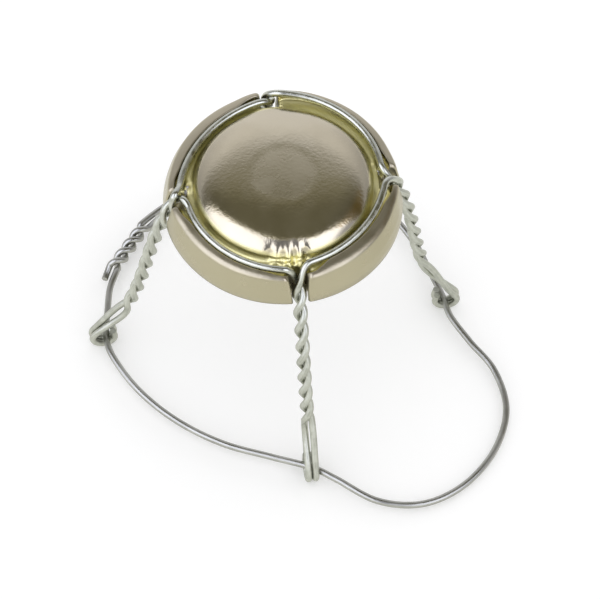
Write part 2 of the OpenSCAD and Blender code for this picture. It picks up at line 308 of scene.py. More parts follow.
inner, outer = splice_strand(math.pi), splice_strand(0)
way = ([inner[-8], inner[-1]] + sagged(BELT_EXIT) + [eye_place(2)] + sagged(BELT_LEFT) + [eye_place(3)]
       + sagged(BELT_LOOP) + [eye_place(0)] + sagged(BELT_BACK_RIGHT) + [eye_place(1)] + sagged(BELT_BACK_LEFT)
       + [outer[0], outer[7]])
top_end = inner[0] - splice_way * SPLICE_END - splice_out * WIRE_R
foot_end = outer[-1] + unit(sagged(BELT_EXIT)[0] - inner[-1]) * SPLICE_END
belt_line = [top_end] + inner[:-1] + through(way, 12) + outer + [foot_end]
length = sum(np.linalg.norm(b - a) for a, b in zip(belt_line, belt_line[1:]))
print("belt", len(belt_line), "points,", round(length, 1), "mm of wire")

# %% [markdown]
# ## Sweeping a round wire with Geometry Nodes
#
# A wire repeats one circle along its line, so Geometry Nodes sweep it: the line becomes a curve, a circle of
# the wire's radius runs along it, and the ends are filled like cut ends. The tree also writes the distance
# along the wire and the angle round it into an attribute, so that the drawn finish can follow the wire.

# %% Wire tree
def wire_tree():
    tree = bpy.data.node_groups.new("swept_wire", "GeometryNodeTree")
    face = tree.interface
    face.new_socket("Line", in_out="INPUT", socket_type="NodeSocketGeometry")
    face.new_socket("Wire radius", in_out="INPUT", socket_type="NodeSocketFloat")
    face.new_socket("Sides", in_out="INPUT", socket_type="NodeSocketInt")
    face.new_socket("Finish", in_out="INPUT", socket_type="NodeSocketMaterial")
    face.new_socket("Wire", in_out="OUTPUT", socket_type="NodeSocketGeometry")
    n, link = tree.nodes, tree.links.new
    given, out = n.new("NodeGroupInput"), n.new("NodeGroupOutput")
    curve = n.new("GeometryNodeMeshToCurve")
    along = n.new("GeometryNodeSplineParameter")
    keep_along = n.new("GeometryNodeCaptureAttribute")
    keep_along.capture_items.new("FLOAT", "along")
    circle = n.new("GeometryNodeCurvePrimitiveCircle")
    around = n.new("GeometryNodeInputPosition")
    keep_around = n.new("GeometryNodeCaptureAttribute")
    keep_around.capture_items.new("VECTOR", "around")
    around_parts = n.new("ShaderNodeSeparateXYZ")
    sweep = n.new("GeometryNodeCurveToMesh")
    sweep.inputs["Fill Caps"].default_value = True
    pair = n.new("ShaderNodeCombineXYZ")
    store = n.new("GeometryNodeStoreNamedAttribute")
    store.data_type, store.domain = "FLOAT_VECTOR", "POINT"
    store.inputs["Name"].default_value = "wire_place"
    realize, finish = n.new("GeometryNodeRealizeInstances"), n.new("GeometryNodeSetMaterial")
    link(given.outputs["Line"], curve.inputs["Mesh"])
    link(curve.outputs["Curve"], keep_along.inputs["Geometry"])
    link(along.outputs["Length"], keep_along.inputs["along"])
    link(given.outputs["Wire radius"], circle.inputs["Radius"])
    link(given.outputs["Sides"], circle.inputs["Resolution"])
    link(circle.outputs["Curve"], keep_around.inputs["Geometry"])
    link(around.outputs["Position"], keep_around.inputs["around"])
    link(keep_around.outputs["around"], around_parts.inputs["Vector"])
    link(keep_along.outputs["Geometry"], sweep.inputs["Curve"])
    link(keep_around.outputs["Geometry"], sweep.inputs["Profile Curve"])
    link(keep_along.outputs["along"], pair.inputs["X"])
    link(around_parts.outputs["X"], pair.inputs["Y"])
    link(around_parts.outputs["Y"], pair.inputs["Z"])
    link(sweep.outputs["Mesh"], store.inputs["Geometry"])
    link(pair.outputs["Vector"], store.inputs["Value"])
    link(store.outputs["Geometry"], realize.inputs["Geometry"])
    link(realize.outputs["Geometry"], finish.inputs["Geometry"])
    link(given.outputs["Finish"], finish.inputs["Material"])
    link(finish.outputs["Geometry"], out.inputs["Wire"])
    return tree


def sweep_wire(name, line, tree, finish, node, sides=20):
    points = [tuple(p * MM) for p in line]
    path = bpy.data.meshes.new(name + "_line")
    path.from_pydata(points, [(i, i + 1) for i in range(len(points) - 1)], [])
    carrier = bpy.data.objects.new(name + "_carrier", path)
    bpy.context.scene.collection.objects.link(carrier)
    modifier = carrier.modifiers.new("sweep", "NODES")
    modifier.node_group = tree
    values = {"Wire radius": WIRE_R * MM, "Sides": sides, "Finish": finish}
    for item in tree.interface.items_tree:
        if item.in_out == "INPUT" and item.name in values:
            modifier[item.identifier] = values[item.name]
    evaluated = carrier.evaluated_get(bpy.context.evaluated_depsgraph_get())
    mesh = bpy.data.meshes.new_from_object(evaluated)
    bpy.data.objects.remove(carrier)
    bm = bmesh.new()
    bm.from_mesh(mesh)
    bmesh.ops.recalc_face_normals(bm, faces=bm.faces)
    for f in bm.faces:
        f.smooth = len(f.verts) == 4
    bm.to_mesh(mesh)
    bm.free()
    mesh.name = name
    wire = bpy.data.objects.new(name, mesh)
    bpy.context.scene.collection.objects.link(wire)
    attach(wire, "root")
    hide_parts(node)
    print(name, len(mesh.polygons), "faces")
    return wire


# %% [markdown]
# ## Finishes
#
# All of the surfaces here are metal, so one helper starts each finish as a metal with a colour and a
# roughness. What makes a metal look real is what varies: a slow change of tone, patches that are a little
# duller, and a fine grain that the light catches. Short helpers below add each of these to a shader: `noise`
# gives a pattern in the object's own space or along a wire, `ramp` turns a value into another range, `blend`
# mixes two colours and `bump` lets a pattern tilt the surface.

# %% Helpers for finishes
def new_metal(name, colour, roughness):
    material = bpy.data.materials.new(name)
    material.use_nodes = True
    shader = material.node_tree.nodes["Principled BSDF"]
    shader.inputs["Base Color"].default_value = (*colour, 1)
    shader.inputs["Metallic"].default_value = 1
    shader.inputs["Roughness"].default_value = roughness
    return material, material.node_tree, shader


def object_place(tree, scale=(1, 1, 1)):
    place_node, mapping = tree.nodes.new("ShaderNodeTexCoord"), tree.nodes.new("ShaderNodeMapping")
    mapping.inputs["Scale"].default_value = scale
    tree.links.new(place_node.outputs["Object"], mapping.inputs["Vector"])
    return mapping.outputs["Vector"]


def wire_place(tree, scale):
    given, mapping = tree.nodes.new("ShaderNodeAttribute"), tree.nodes.new("ShaderNodeMapping")
    given.attribute_name = "wire_place"
    mapping.inputs["Scale"].default_value = scale
    tree.links.new(given.outputs["Vector"], mapping.inputs["Vector"])
    return mapping.outputs["Vector"]


def noise(tree, place_socket, scale, detail=2, roughness=0.5):
    node = tree.nodes.new("ShaderNodeTexNoise")
    node.inputs["Scale"].default_value = scale
    node.inputs["Detail"].default_value = detail
    node.inputs["Roughness"].default_value = roughness
    tree.links.new(place_socket, node.inputs["Vector"])
    return node.outputs["Fac"]


def ramp(tree, value, low, high, out_low, out_high):
    node = tree.nodes.new("ShaderNodeMapRange")
    node.interpolation_type = "SMOOTHSTEP"
    for name, number in (("From Min", low), ("From Max", high), ("To Min", out_low), ("To Max", out_high)):
        node.inputs[name].default_value = number
    tree.links.new(value, node.inputs["Value"])
    return node.outputs["Result"]


def blend(tree, factor, a, b):
    node = tree.nodes.new("ShaderNodeMix")
    node.data_type = "RGBA"
    tree.links.new(factor, node.inputs["Factor"])
    for socket, colour in ((node.inputs["A"], a), (node.inputs["B"], b)):
        if isinstance(colour, tuple):
            socket.default_value = (*colour, 1)
        else:
            tree.links.new(colour, socket)
    return node.outputs["Result"]


def total(tree, a, b, how="ADD"):
    node = tree.nodes.new("ShaderNodeMath")
    node.operation = how
    for socket, value in zip(node.inputs, (a, b)):
        if isinstance(value, (int, float)):
            socket.default_value = value
        else:
            tree.links.new(value, socket)
    return node.outputs["Value"]


def bump(tree, shader, height, distance, strength):
    node = tree.nodes.new("ShaderNodeBump")
    node.inputs["Distance"].default_value = distance
    node.inputs["Strength"].default_value = strength
    tree.links.new(height, node.inputs["Height"])
    tree.links.new(node.outputs["Normal"], shader.inputs["Normal"])


# %% [markdown]
# ## The cap's lacquer
#
# The cap is tinplate under a thin champagne lacquer. Its lacquer is smoothest on the dome, which nothing has touched.
# The spot in the middle is matt with a frayed edge, where the press held the sheet. In the channel the
# lacquer is soft to look at, and its colour is painted brighter and more yellow, as a painted reflection of the
# gold inner wall of the ridge. The wires have rubbed the ridge, so from there outward the lacquer is rougher,
# and its colour is made darker there. The mesh carries two values for this: which side of the sheet a point is
# on, and how far down the flange it lies. The inside of the cap is bare tin.

# %% Cap lacquer
lacquer, tree, shader = new_metal("champagne_lacquer", (0.47, 0.425, 0.30), 0.16)
place_in = object_place(tree)
cloud = noise(tree, place_in, 140, 3)
tone = blend(tree, ramp(tree, cloud, 0.35, 0.65, 0, 1), (0.455, 0.41, 0.285), (0.495, 0.45, 0.32))
inside = tree.nodes.new("ShaderNodeAttribute")
inside.attribute_name = "sheet_side"
flat = tree.nodes.new("ShaderNodeVectorMath")
flat.operation = "LENGTH"
tree.links.new(object_place(tree, (1, 1, 0)), flat.inputs[0])
radius_in = flat.outputs["Value"]
frayed = total(tree, radius_in, ramp(tree, noise(tree, place_in, 900, 3), 0.2, 0.8, -0.0006, 0.0006))
spot = ramp(tree, frayed, 0.0034, 0.0047, 0.13, 0.0)
flange = tree.nodes.new("ShaderNodeAttribute")
flange.attribute_name = "flange_place"
down = flange.outputs["Fac"]
rubbed = ramp(tree, down, 0.34, 0.4, 0.0, 0.17)
skirt = total(tree, rubbed, ramp(tree, down, 0.5, 0.56, 0.0, -0.03))
channel = total(tree, ramp(tree, radius_in, 0.0106, 0.0111, 0, 1), ramp(tree, down, 0.28, 0.36, 1, 0), "MULTIPLY")
# From the ridge outward the colour is made darker.
darker_flange_tone = blend(tree, ramp(tree, down, 0.33, 0.4, 0, 1), tone, (0.38, 0.345, 0.24))
skirt_tone = blend(tree, ramp(tree, down, 0.47, 0.55, 0, 1), darker_flange_tone, (0.415, 0.38, 0.25))
# Painted reflection: the channel is coloured bright yellow to stand for the gold inner wall of the ridge reflected
# there.
channel_painted_reflection_tone = blend(tree, channel, skirt_tone, (0.73, 0.68, 0.33))
grain = noise(tree, place_in, 2600, 2, 0.6)
patches = ramp(tree, noise(tree, place_in, 420, 3), 0.3, 0.7, 0.12, 0.2)
roughness = total(tree, total(tree, patches, spot), total(tree, skirt, total(tree, channel, 0.22, "MULTIPLY")))
tree.links.new(blend(tree, inside.outputs["Fac"], channel_painted_reflection_tone, (0.5, 0.49, 0.45)), shader.inputs["Base Color"])
tree.links.new(total(tree, roughness, ramp(tree, inside.outputs["Fac"], 0, 1, 0, 0.2)), shader.inputs["Roughness"])
bump(tree, shader, grain, 0.00005, 0.3)
print("lacquer over tinplate, duller on the middle spot and the skirt")

# %% [markdown]
# ## The cage wire's zinc
#
# The cage is made of soft galvanised steel wire. Zinc gives small cloudy patches, and the drawing die leaves
# fine lines along the wire. The lines are stretched noise in the wire's own coordinates, so they turn with
# the twists. Twisting has dulled the legs, so the finish gets rougher below the cap.

# %% Cage wire
galvanised, tree, shader = new_metal("galvanised_wire", (0.5, 0.51, 0.49), 0.3)
place_in = object_place(tree)
spangle = noise(tree, place_in, 900, 3, 0.55)
drawn = noise(tree, wire_place(tree, (300, 7000, 7000)), 1, 3, 0.6)
colour = blend(tree, ramp(tree, spangle, 0.35, 0.65, 0, 1), (0.37, 0.38, 0.31), (0.49, 0.5, 0.415))
tree.links.new(blend(tree, ramp(tree, drawn, 0.3, 0.75, 0, 0.6), colour, (0.57, 0.58, 0.49)), shader.inputs["Base Color"])
height_in = tree.nodes.new("ShaderNodeSeparateXYZ")
tree.links.new(place_in, height_in.inputs["Vector"])
twist_dull = ramp(tree, height_in.outputs["Z"], 0.0005, 0.0038, 0.14, 0.0)
tree.links.new(total(tree, ramp(tree, spangle, 0.3, 0.7, 0.2, 0.34), twist_dull), shader.inputs["Roughness"])
bump(tree, shader, total(tree, total(tree, drawn, 0.5, "MULTIPLY"), spangle), 0.00006, 0.3)
print("galvanised wire, duller down the legs")

# %% [markdown]
# ## The belt wire's finish
#
# The belt is a plain drawn wire. It is darker and greyer than the cage, with the same fine lines along it and
# a few larger stains from handling.

# %% Belt wire
drawn_steel, tree, shader = new_metal("drawn_belt_wire", (0.36, 0.36, 0.35), 0.3)
drawn = noise(tree, wire_place(tree, (350, 8000, 8000)), 1, 3, 0.6)
stain = noise(tree, object_place(tree), 260, 3)
colour = blend(tree, ramp(tree, stain, 0.3, 0.7, 0, 1), (0.29, 0.29, 0.25), (0.42, 0.42, 0.365))
tree.links.new(blend(tree, ramp(tree, drawn, 0.3, 0.75, 0, 0.5), colour, (0.5, 0.5, 0.44)), shader.inputs["Base Color"])
tree.links.new(ramp(tree, stain, 0.3, 0.7, 0.24, 0.4), shader.inputs["Roughness"])
bump(tree, shader, drawn, 0.00005, 0.3)
print("drawn belt wire, darker than the cage")

# %% [markdown]
# ## The five wires
#
# Each line is now swept with the same tree. A wire takes the name of the solid that it stands for, and rides
# on the root, since nothing here moves on its own.

# %% Wires
tree = wire_tree()
for name, line in cage_lines.items():
    sweep_wire("smooth_" + name, line, tree, galvanised, name)
sweep_wire("smooth_belt_wire", belt_line, tree, drawn_steel, "belt_wire")

# %% [markdown]
# ## The pressed cap: its outline
#
# The cap is one disc of thin tinplate, pressed in a few strokes. From the middle outward it has a shallow
# dome, a flat channel for the wires, a rounded ridge and a skirt. Turning an outline gives all of that, but
# not the notches, so here the outline is only the first step: it is kept as a fine line of points, and rows
# of mesh points are laid along it, close together on the folds and wide apart on the plain parts.

# %% Cap outline
SPOT_R = 4.1
SPOT_EDGE = 0.9
SPOT_DEPTH = 0.03
DOME_SIDE_H = 2.1
DOME_SWELL = 0.67
DOME_POWER = 6
DOME_SIDE_R = 11.25


def dome_height(r):
    swell = CHANNEL_H + DOME_SIDE_H * np.sqrt(np.maximum(1 - (r / DOME_SIDE_R) ** DOME_POWER, 0))
    swell = swell + DOME_SWELL * (1 - (r / DOME_SIDE_R) ** 2)
    rise = np.clip((r - SPOT_R + SPOT_EDGE / 2) / SPOT_EDGE, 0, 1)
    return swell - SPOT_DEPTH * (1 - rise * rise * (3 - 2 * rise))


def corner(before, at, after, r, steps=24):
    u, v = unit(before - at), unit(after - at)
    half = math.acos(u @ v) / 2
    centre = at + unit(u + v) * r / math.sin(half)
    start = at + u * r / math.tan(half) - centre
    side = -1 if u[0] * v[1] - u[1] * v[0] > 0 else 1
    turns = [side * (math.pi - 2 * half) * i / steps for i in range(steps + 1)]
    return [centre + np.array([start[0] * math.cos(a) - start[1] * math.sin(a),
                               start[0] * math.sin(a) + start[1] * math.cos(a)]) for a in turns]


dome_rs = np.append(np.linspace(0, 10.4, 160), np.linspace(10.42, 11.12, 60))
dome_side = np.array([dome_rs[-1], dome_height(dome_rs[-1])])
folds = [np.array(p) for p in [(11.24, CHANNEL_H - 0.17), (13.17, CHANNEL_H - 0.17), (13.64, RIDGE_H),
                               (14.4, RIDGE_H - 0.2), (MOUTH_R - 0.02, BAND_H), (MOUTH_R, 0)]]
fold_rounds = [0.8, 0.35, 0.12, 0.75, 1.6]
outline = [np.array([r, dome_height(r)]) for r in dome_rs]
for i, fold_r in enumerate(fold_rounds):
    outline += corner(folds[i - 1] if i else dome_side, folds[i], folds[i + 1], fold_r)
outline = np.array(outline + [folds[-1]])
outline_s = np.append(0, np.cumsum(np.linalg.norm(np.diff(outline, axis=0), axis=1)))
foot_s = outline_s[len(dome_rs) - 1]
mouth_s = outline_s[-1]
print("outline", round(float(mouth_s), 2), "mm long, dome", round(float(foot_s), 2), "mm of it")

# %% Rows along the outline
spacing_at = [(0, 0.5), (6, 0.45), (9, 0.3), (10.5, 0.2), (foot_s, 0.08), (foot_s + 0.7, 0.1), (foot_s + 1.8, 0.1),
              (foot_s + 4.0, 0.085), (foot_s + 5.5, 0.16), (mouth_s, 0.22)]
fine_s = np.linspace(0, mouth_s, 4000)
row_count_at = np.append(0, np.cumsum(np.diff(fine_s) / np.interp(fine_s[1:], *zip(*spacing_at))))
row_total = int(row_count_at[-1])
rows_s = np.interp(np.linspace(0, row_count_at[-1], row_total + 1), row_count_at, fine_s)
foot_row = int(np.argmin(abs(rows_s - foot_s)))
rows_s[foot_row] = foot_s
row_r = np.interp(rows_s, outline_s, outline[:, 0])
row_z = np.interp(rows_s, outline_s, outline[:, 1])
print(row_total + 1, "rows, the dome's foot is row", foot_row)

# %% [markdown]
# ## The notches
#
# Four notches let the wires down through the ridge. The press doesn't cut them out: it pushes the sheet in,
# so each notch is a groove with a wall at both sides, a rolled lip where a wall meets the ridge and the
# skirt, and a steep inner end under the channel. Each row of the flange is bent in the same way. Its points
# near a notch walk along the lip, down the wall and across the groove's bottom, and the sheet stays one
# closed surface. The widths are lists, one value for each place down the flange, since no two lips in the
# photograph are alike: the front notch is pulled wide open on its left.

# %% Notch sizes: for each notch and side, (groove half width, lip radius) at five places down the flange
plain_lip = [(1.08, 1.2), (1.08, 1.2), (1.12, 0.75), (1.08, 0.38), (1.05, 0.25)]
NOTCH_SIDES = {
    (0, 1): [(1.08, 1.2), (1.08, 1.2), (1.25, 0.6), (1.1, 0.35), (1.05, 0.22)],
    (0, -1): [(1.08, 1.2), (1.08, 1.2), (1.12, 0.6), (1.08, 0.35), (1.05, 0.22)],
    (1, 1): [(1.08, 1.2), (1.08, 1.2), (1.12, 0.7), (1.08, 0.35), (1.05, 0.22)],
    (1, -1): plain_lip,
    (2, 1): [(1.08, 1.2), (1.08, 1.1), (1.08, 0.45), (1.05, 0.3), (1.03, 0.22)],
    (2, -1): [(1.08, 1.2), (1.08, 1.2), (1.15, 0.6), (1.1, 0.35), (1.05, 0.22)],
    (3, 1): [(1.12, 1.2), (1.12, 1.2), (1.12, 0.62), (1.06, 0.45), (1.04, 0.4)],
    (3, -1): [(1.25, 1.1), (1.25, 1.1), (1.22, 0.9), (1.02, 0.6), (0.84, 0.3)],
}
GROOVE_SHARES = [0.13, 0.16, 0.2, 0.26, 0.33, 0.45, 0.7, 1]
GROOVE_LINES = [
    [(11.86, 3.62), (12.02, 3.38), (12.15, 3.0), (12.35, 2.5), (12.55, 2.1), (12.8, 1.5), (13.2, 0.7), (13.6, 0.04)],
    [(11.88, 3.64), (12.1, 3.45), (12.35, 3.1), (12.65, 2.65), (12.9, 2.2), (13.25, 1.6), (13.75, 0.8), (14.2, 0.04)],
    [(11.86, 3.62), (12.02, 3.38), (12.15, 3.0), (12.35, 2.5), (12.55, 2.1), (12.8, 1.5), (13.2, 0.7), (13.6, 0.04)],
    [(11.76, 3.6), (11.88, 3.3), (11.95, 2.9), (12.05, 2.4), (12.15, 2.0), (12.35, 1.5), (12.9, 0.7), (13.4, 0.04)],
]
GROOVE_START = 0.1
NEAR_ZONE = 2.2
BOTTOM_ROUND = 0.3
FLAT_DEPTH = 0.6
STEPS_BOTTOM, STEPS_CORNER, STEPS_WALL, STEPS_LIP, STEPS_NEAR = 3, 4, 7, 9, 8
HALF_STEPS = STEPS_BOTTOM + STEPS_CORNER + STEPS_WALL + STEPS_LIP + STEPS_NEAR

share = np.clip((rows_s - foot_s) / (mouth_s - foot_s), 0, 1)
crest_share = float(np.interp(np.argmax(row_z[foot_row + 8:]) + foot_row + 8, range(len(share)), share))
place_share = [0.1, 0.68 * crest_share, crest_share, 0.5 * (crest_share + 1), 1]
surface = np.array([row_r, row_z])
print("the ridge's crest lies", round(100 * crest_share), "% of the way down the flange")


# %% Bending the rows at a notch
def half_notch(side_sizes, reach):
    half = np.interp(share, place_share, [w for w, _ in side_sizes])[:, None]
    lip = np.minimum(np.interp(share, place_share, [p for _, p in side_sizes]), 0.75 * reach)[:, None]
    base = np.minimum(BOTTOM_ROUND, 0.2 * reach)[:, None]
    depth = reach[:, None]
    turn = np.linspace(0, math.pi / 2, STEPS_CORNER + 1)[None, 1:]
    roll = np.linspace(0, math.pi / 2, STEPS_LIP + 1)[None, 1:]
    bottom_y = (half - base) * np.linspace(0, 1, STEPS_BOTTOM + 1)[None, :]
    corner_y = half - base + base * np.sin(turn)
    corner_off = depth - base * (1 - np.cos(turn))
    wall_off = (depth - base) + (lip - depth + base) * np.linspace(0, 1, STEPS_WALL + 1)[None, 1:]
    lip_y = half + lip * (1 - np.cos(roll))
    lip_off = lip * (1 - np.sin(roll))
    near_y = half + lip + NEAR_ZONE * np.linspace(0, 1, STEPS_NEAR + 1)[None, 1:]
    y = np.hstack([bottom_y, corner_y, half + 0 * wall_off, lip_y, near_y])
    off = np.hstack([depth + 0 * bottom_y, corner_off, wall_off, lip_off, 0 * near_y])
    even = near_y[:, -1:] * np.linspace(0, 1, HALF_STEPS + 1)[None, :]
    fold = np.clip(reach / FLAT_DEPTH, 0, 1)[:, None]
    fold = fold * fold * (3 - 2 * fold)
    return even + (y - even) * fold, off * fold


def notch_points(leg):
    line = [(float(np.interp(GROOVE_START, share, surface[0])), float(np.interp(GROOVE_START, share, surface[1])))]
    line += GROOVE_LINES[leg]
    groove = np.array([np.interp(share, [GROOVE_START] + GROOVE_SHARES, [p[k] for p in line]) for k in (0, 1)])
    groove = np.where(share < GROOVE_START, surface, groove)
    reach = np.linalg.norm(groove - surface, axis=0)
    y_right, off_right = half_notch(NOTCH_SIDES[leg, -1], reach)
    y_left, off_left = half_notch(NOTCH_SIDES[leg, 1], reach)
    y = np.hstack([-y_right[:, :0:-1], y_left])
    off = np.hstack([off_right[:, :0:-1], off_left])
    t = off / np.maximum(reach, 1e-6)[:, None]
    move = [t * (groove - surface)[k][:, None] for k in (0, 1)]
    x = np.sqrt(np.maximum(row_r[:, None] ** 2 - y ** 2, 0)) + move[0]
    z = row_z[:, None] + move[1]
    a = LEG_ANGLE[leg]
    return np.stack([x * math.cos(a) - y * math.sin(a), x * math.sin(a) + y * math.cos(a), z], axis=-1)


# %% The sheet's outer surface
MAIN_STEPS = 46


def angle_of(points):
    return np.arctan2(points[..., 1], points[..., 0])


def between(last, first):
    a, b = angle_of(last)[:, None], angle_of(first)[:, None]
    b = a + (b - a) % (2 * math.pi)
    turn = a + (b - a) * np.linspace(0, 1, MAIN_STEPS + 1)[None, 1:-1]
    r = row_r[:, None]
    return np.stack([r * np.cos(turn), r * np.sin(turn), row_z[:, None] + 0 * turn], axis=-1)


notches = [notch_points(leg) for leg in range(4)]
sheet = np.concatenate([part for leg in range(4) for part in
                        (notches[leg], between(notches[leg][:, -1], notches[(leg + 1) % 4][:, 0]))], axis=1)
foot_turn = angle_of(sheet[foot_row])
for row in range(foot_row):
    sheet[row, :, 0], sheet[row, :, 1] = row_r[row] * np.cos(foot_turn), row_r[row] * np.sin(foot_turn)
    sheet[row, :, 2] = row_z[row]
print("sheet of", sheet.shape[0], "rows and", sheet.shape[1], "columns")

# %% [markdown]
# ## The ridge is drawn up to the wires
#
# The tight wires have pressed the soft ridge against themselves. It stands close to each wire along the
# quarters, and keeps away from the crossing wires at the notches. One smooth move of the points does that:
# a list gives the radius of the wire at each angle, and the ridge's inner wall is moved to just outside it.
# The dome's foot and the skirt keep their places, and the crest between them becomes wider or narrower.

# %% Drawing the ridge up to the wires
WALL_R = 13.64
WALL_GAP = 0.17
NOTCH_PULL = 0.1
arc_points = np.array([arc_point(quarter, u) for quarter in range(4) for u in np.linspace(0, 1, 20)])


def ridge_shift(turn):
    wire_r = np.interp(turn, angle_of(arc_points), np.hypot(arc_points[:, 0], arc_points[:, 1]), period=2 * math.pi)
    shift = WALL_R - (wire_r + WIRE_R + WALL_GAP)
    from_leg = np.min([abs((turn - a + math.pi) % (2 * math.pi) - math.pi) for a in LEG_ANGLE], axis=0)
    along = np.clip((np.degrees(from_leg) - 6) / 14, 0, 1)
    along = along * along * (3 - 2 * along)
    return shift * along - NOTCH_PULL * (1 - along)


def drawn_up(points):
    r, turn = np.hypot(points[..., 0], points[..., 1]), angle_of(points)
    share_of_shift = np.interp(r, [11.35, 13.05, 13.75, 14.9], [0, 1, 1, 0])
    new_r = r - ridge_shift(turn) * share_of_shift
    return np.stack([new_r * np.cos(turn), new_r * np.sin(turn), points[..., 2]], axis=-1)


sheet = drawn_up(sheet)
for leg in range(4):
    middle = LEG_ANGLE[leg] + math.pi / 4
    print("ridge drawn in by", round(float(ridge_shift(np.array([middle]))[0]), 2), "mm in quarter", leg)

# %% [markdown]
# ## Dents, folds and ears
#
# A pressed cap that has been twisted off a bottle isn't perfect. The steel wires have pulled the ridge down
# beside the front notch, the dome's foot is crumpled there in a few short folds, and at the side notches the
# floor of the channel is pinched up into small ears. Each of these is a soft push: a place, a size along the
# rim and across it, and a push along the sheet's own normal. One function adds them all up. Creases and
# lobes take turns beside the front notch, because a sheet that is pushed together folds in both directions.

# %% Pushes: (angle, radius), (size along the rim, size across it), push outward along the sheet's own normal
PUSHES = [
    ((261.5, 14.0), (1.7, 0.8), -0.12),
    ((253.2, 11.0), (0.5, 0.7), -0.2),
    ((257.5, 11.6), (0.9, 0.45), 0.4),
    ((261.6, 11.1), (0.45, 0.8), -0.25),
    ((265.3, 11.65), (0.5, 0.5), 0.55),
    ((268.9, 11.1), (0.4, 0.9), -0.3),
    ((272.4, 11.6), (0.6, 0.45), 0.5),
    ((93.0, 11.1), (2.2, 0.8), 0.4),
    ((276.3, 11.1), (0.45, 0.8), -0.3),
    ((6.5, 11.8), (0.8, 0.5), 0.3),
    ((173.5, 12.0), (0.8, 0.55), 0.45),
    ((232.0, 10.9), (1.6, 1.1), -0.06),
    ((310.0, 10.9), (1.8, 1.0), -0.05),
    ((60.0, 14.9), (5.0, 1.5), -0.06),
    ((215.0, 14.9), (4.5, 1.5), -0.05),
]


def sheet_normals(points):
    down_row = np.gradient(points, axis=0)
    around = (np.roll(points, -1, axis=1) - np.roll(points, 1, axis=1)) / 2
    normal = np.cross(down_row, around)
    normal[0] = (0, 0, 1)
    return normal / np.maximum(np.linalg.norm(normal, axis=-1, keepdims=True), 1e-9)


def pushed(points):
    r = np.hypot(points[..., 0], points[..., 1])
    turn = angle_of(points)
    depth = np.zeros_like(r)
    for (angle, radius), (along, across), push in PUSHES:
        side = (turn - math.radians(angle) + math.pi) % (2 * math.pi) - math.pi
        depth += push * np.exp(-(side * radius / along) ** 2 - ((r - radius) / across) ** 2)
    return points + sheet_normals(points) * depth[..., None]


sheet = pushed(sheet)
print(len(PUSHES), "pushes, the deepest", max(abs(push) for _, _, push in PUSHES), "mm")


# %% [markdown]
# ## Giving the sheet its thickness
#
# The rows and columns so far are the outer face of the sheet. The inner face is the same grid moved inward by
# the sheet's thickness, and a strip closes the two along the mouth. A modifier could do this, but plain arrays
# keep the two faces apart, and each point can be marked with its side and its place for the finish.

# %% Thickness and mesh
normals = sheet_normals(sheet)
inner = sheet - normals * SHEET
rows, columns = sheet.shape[:2]
outer_points, inner_points = sheet[1:].reshape(-1, 3), inner[1:].reshape(-1, 3)
cap_points = np.vstack([sheet[0, :1], outer_points, inner[0, :1], inner_points])
shell = 1 + (rows - 1) * columns


def ring(row, start):
    return start + 1 + (row - 1) * columns + np.arange(columns)


cap_faces = []
for start, flip in ((0, False), (shell, True)):
    first = ring(1, start)
    fan = [(start, int(a), int(b)) for a, b in zip(first, np.roll(first, -1))]
    quads = []
    for row in range(1, rows - 1):
        a, b = ring(row, start), ring(row + 1, start)
        quads += np.stack([a, b, np.roll(b, -1), np.roll(a, -1)], axis=1).tolist()
    cap_faces += [f[::-1] for f in fan + quads] if flip else fan + quads
outer_rim, inner_rim = ring(rows - 1, 0), ring(rows - 1, shell)
cap_faces += np.stack([outer_rim, inner_rim, np.roll(inner_rim, -1), np.roll(outer_rim, -1)], axis=1).tolist()

cap_mesh = bpy.data.meshes.new("pressed_cap")
cap_mesh.from_pydata((cap_points * MM).tolist(), [], cap_faces)
cap_mesh.polygons.foreach_set("use_smooth", [True] * len(cap_mesh.polygons))
side_of_sheet = cap_mesh.attributes.new("sheet_side", "FLOAT", "POINT")
side_of_sheet.data.foreach_set("value", np.append(np.zeros(shell), np.ones(shell)))
row_shares = np.append(0, np.repeat(share[1:], columns))
way_down = cap_mesh.attributes.new("flange_place", "FLOAT", "POINT")
way_down.data.foreach_set("value", np.append(row_shares, row_shares))
cap_mesh.validate()
cap_mesh.materials.append(lacquer)
pressed_cap = bpy.data.objects.new("pressed_cap", cap_mesh)
bpy.context.scene.collection.objects.link(pressed_cap)
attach(pressed_cap, "root")
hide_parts("cap")
print("cap:", len(cap_mesh.polygons), "faces")

# %% [markdown]
# ## Do the wires clear the cap?
#
# Two metals can't share a place. A tree of the cap's faces finds the face nearest to each point of a wire's
# centre line, and that distance less the wire's radius is the room that is left. It should be above zero.

# %% Room between the wires and the cap
cap_tree = BVHTree.FromPolygons([tuple(p) for p in cap_points], cap_faces)
for name, line in cage_lines.items():
    gap, where = min((cap_tree.find_nearest(Vector(p))[3] - WIRE_R, i) for i, p in enumerate(line))
    print(name, "clears the cap by", round(gap, 3), "mm at", [round(float(c), 2) for c in line[where]])

# %% [markdown]
# ## Floor and world
#
# The photograph shows the hood on plain white. The floor is a wide pale sheet just under the eyes, and the
# world is a plain soft white, so the picture has no edge anywhere. The floor glows a little, which keeps the
# shadows light without hiding them.

# %% Floor and world
floor_mesh = bpy.data.meshes.new("floor")
side = 3.0
floor_z = -STAND_H * MM
floor_mesh.from_pydata([(-side, -side, floor_z), (side, -side, floor_z), (side, side, floor_z), (-side, side, floor_z)],
                       [], [(0, 1, 2, 3)])
floor = bpy.data.objects.new("floor", floor_mesh)
bpy.context.scene.collection.objects.link(floor)
paper = bpy.data.materials.new("white_paper")
paper.use_nodes = True
paper.node_tree.nodes["Principled BSDF"].inputs["Base Color"].default_value = (0.8, 0.8, 0.8, 1)
paper.node_tree.nodes["Principled BSDF"].inputs["Emission Color"].default_value = (1, 1, 1, 1)
paper.node_tree.nodes["Principled BSDF"].inputs["Emission Strength"].default_value = 0.25
floor_mesh.materials.append(paper)

